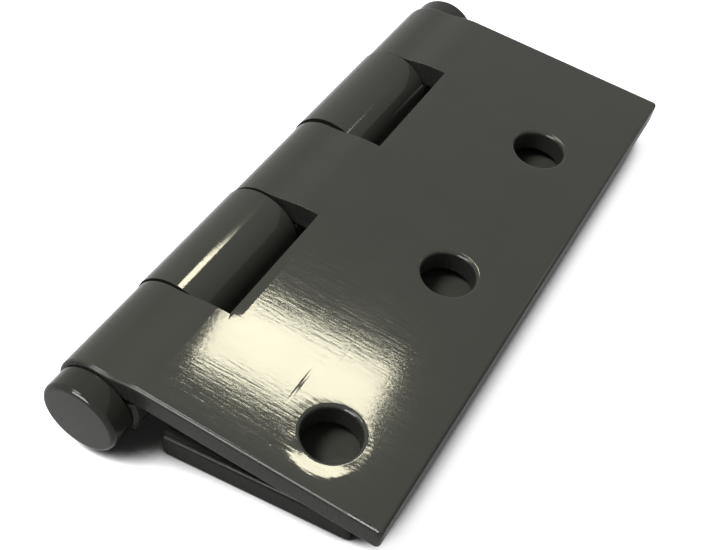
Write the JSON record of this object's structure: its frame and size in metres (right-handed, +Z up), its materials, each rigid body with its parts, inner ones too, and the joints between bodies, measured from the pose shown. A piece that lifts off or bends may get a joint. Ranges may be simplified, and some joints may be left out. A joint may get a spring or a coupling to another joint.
{
  "type": "butt hinge",
  "caption": "Painted steel butt hinge, folded shut: plain rectangular leaves curled round a button-headed pin, with unsunk screw holes.",
  "frame": {"origin": "on the ground under the middle of the closed hinge: bottom centre of its box, on the plane that the lower leaf's outer face lies on", "axes": "+Y along the pin from its head to the button tip; +X from the pin towards the free edges; +Z up, out of the lower leaf's inner face"},
  "size_m": [0.0374, 0.0812, 0.0106],
  "materials": {
    "leaf_coat": "satin powder coat, dark warm grey",
    "pin_coat": "satin powder coat, dark warm grey, rubbed at the rims"
  },
  "bodies": {
    "lower_leaf": {"two_knuckle_leaf": "leaf_coat"},
    "upper_leaf": {"three_knuckle_leaf": "leaf_coat", "hinge_pin": "pin_coat", "end_tip": "pin_coat"}
  },
  "joints": [
    {"name": "leaf_pivot", "type": "hinge", "parent": "lower_leaf", "child": "upper_leaf", "pos_m": [-0.01368, 0, 0.0056], "axis": [0, -1, 0], "range_deg": [0, 290]}
  ]
}
